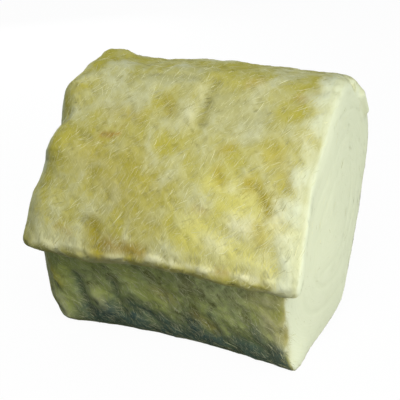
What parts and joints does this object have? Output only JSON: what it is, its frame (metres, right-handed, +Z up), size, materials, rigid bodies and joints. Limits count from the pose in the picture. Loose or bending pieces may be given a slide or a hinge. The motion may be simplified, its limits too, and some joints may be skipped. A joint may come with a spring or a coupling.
{
  "type": "insulation roll",
  "caption": "Unfaced glass wool blanket wound into a soft, squashed roll that lies on its side, with the blanket's free end as a lip down its front.",
  "frame": {"origin": "on the floor, at the middle of the flat that the roll rests on", "axes": "+X runs along the roll, +Y points to its back, away from the lip, and +Z is up"},
  "size_m": [0.6, 0.5125, 0.566],
  "materials": {
    "glass_wool": "matte, fibrous"
  },
  "bodies": {
    "root": {"wool_roll": "glass_wool"}
  },
  "joints": []
}
